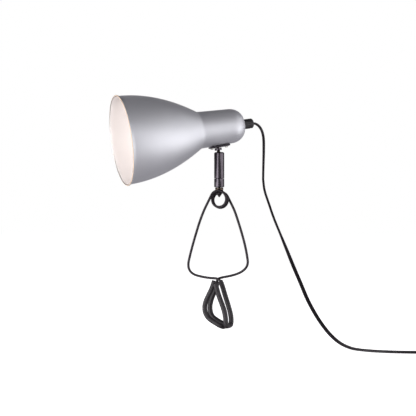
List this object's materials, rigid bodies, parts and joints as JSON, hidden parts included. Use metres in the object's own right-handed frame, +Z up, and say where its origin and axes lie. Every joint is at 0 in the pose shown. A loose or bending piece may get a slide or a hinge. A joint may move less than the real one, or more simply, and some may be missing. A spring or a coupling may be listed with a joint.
{
  "type": "clamp spot lamp",
  "caption": "Clamp-on spot lamp: bell shade on a ball joint and post, carried by a sprung wire clamp with sleeved jaws, with a flat lead, in-line switch and plug",
  "frame": {"origin": "between the tips of the two jaws, where the clamp holds an edge, at the lowest point of the jaw sleeves", "axes": "+Z up along the post; the clamp opens in the XZ plane; +Y runs along the spring coil's axis, away from the side that the mouth and the lead turn to"},
  "size_m": [0.5349, 0.2648, 0.3095],
  "materials": {
    "silver_paint": "satin silver-grey paint outside, warm white enamel inside",
    "black_wire": "black powder-coated spring wire",
    "black_gloss": "glossy black plating",
    "black_rubber": "matt ribbed hose",
    "nickel": "bright nickel plating",
    "brass": "bare brass",
    "black_plastic": "moulded, fine spark-eroded grain",
    "rocker_gloss": "polished",
    "white_plastic": "natural nylon",
    "ceramic": "glazed porcelain look",
    "opal_glass": "opal inner coating",
    "black_pvc": "flat two-core sheath"
  },
  "bodies": {
    "clamp_base": {"spring_coil": "black_wire", "coil_bolt": "black_wire", "nipple": "nickel", "post_foot": "black_gloss", "snap_ring": "nickel"},
    "left_arm": {"left_arm_wire": "black_wire", "right_jaw_sleeve": "black_rubber"},
    "right_arm": {"right_arm_wire": "black_wire", "left_jaw_sleeve": "black_rubber"},
    "post_sleeve": {"post_sleeve": "black_gloss", "ball_seat": "white_plastic", "seat_spring": "nickel", "cord_lead": "black_pvc", "cord_link": "black_pvc", "cord_coil": "black_pvc", "cord_end": "black_pvc", "plug_body": "black_plastic", "plug_pin_left": "nickel", "plug_pin_right": "nickel", "switch_base": "black_plastic", "switch_cover": "black_plastic", "rocker_pin": "nickel"},
    "ball_stud": {"ball_stud": "nickel", "knuckle_collar": "black_gloss", "stud_washer": "nickel", "stud_nut": "nickel", "cord_tail": "black_pvc"},
    "switch_rocker": {"switch_rocker": "rocker_gloss"},
    "head": {"shade": "silver_paint", "saddle_plate": "black_gloss", "saddle_rivet_front": "nickel", "saddle_rivet_rear": "nickel", "threaded_tube": "nickel", "lock_nut": "nickel", "tooth_washer": "nickel", "bulb_cap": "nickel", "cap_contact": "nickel", "screw_shell": "brass", "centre_contact": "brass", "side_contact": "brass", "live_terminal": "brass", "neutral_terminal": "brass", "cord_grip": "black_plastic", "cap_insulator": "black_plastic", "spacer_ring": "white_plastic", "grip_screw": "white_plastic", "holder_shell": "ceramic", "holder_cap": "ceramic", "contact_block": "ceramic", "bulb_globe": "opal_glass", "live_lead": "black_pvc", "neutral_lead": "black_pvc"}
  },
  "joints": [
    {"name": "left_arm_open", "type": "hinge", "parent": "clamp_base", "child": "left_arm", "pos_m": [-0.0106, 0, 0.1736], "axis": [0, -1, 0], "range_deg": [0, 9], "stiffness_Nm_per_rad": 2, "springref_deg": -20.05},
    {"name": "right_arm_open", "type": "hinge", "parent": "clamp_base", "child": "right_arm", "pos_m": [-0.0106, 0, 0.1736], "axis": [0, 1, 0], "range_deg": [0, 9], "stiffness_Nm_per_rad": 2, "springref_deg": -20.05},
    {"name": "sleeve_swivel", "type": "hinge", "parent": "clamp_base", "child": "post_sleeve", "pos_m": [-0.0106, 0, 0.205], "axis": [0, 0, 1], "range_deg": [-170, 170]},
    {"name": "head_tilt", "type": "hinge", "parent": "post_sleeve", "child": "ball_stud", "pos_m": [-0.0106, 0, 0.2304], "axis": [0.5976, -0.8018, 0], "range_deg": [-25, 50], "deforming": ["cord_tail", "cord_lead"]},
    {"name": "head_spin", "type": "hinge", "parent": "ball_stud", "child": "head", "pos_m": [-0.0106, 0, 0.2304], "axis": [-0.1144, -0.0852, 0.9898], "range_deg": [-60, 60], "deforming": ["cord_tail"]},
    {"name": "rocker_press", "type": "hinge", "parent": "post_sleeve", "child": "switch_rocker", "pos_m": [0.33325, -0.20388, 0.0081], "axis": [-0.342, 0.9397, 0], "range_deg": [-8, 8]}
  ],
  "couplings": [
    {"joint": "right_arm_open", "follows": "left_arm_open", "ratio": 1}
  ]
}
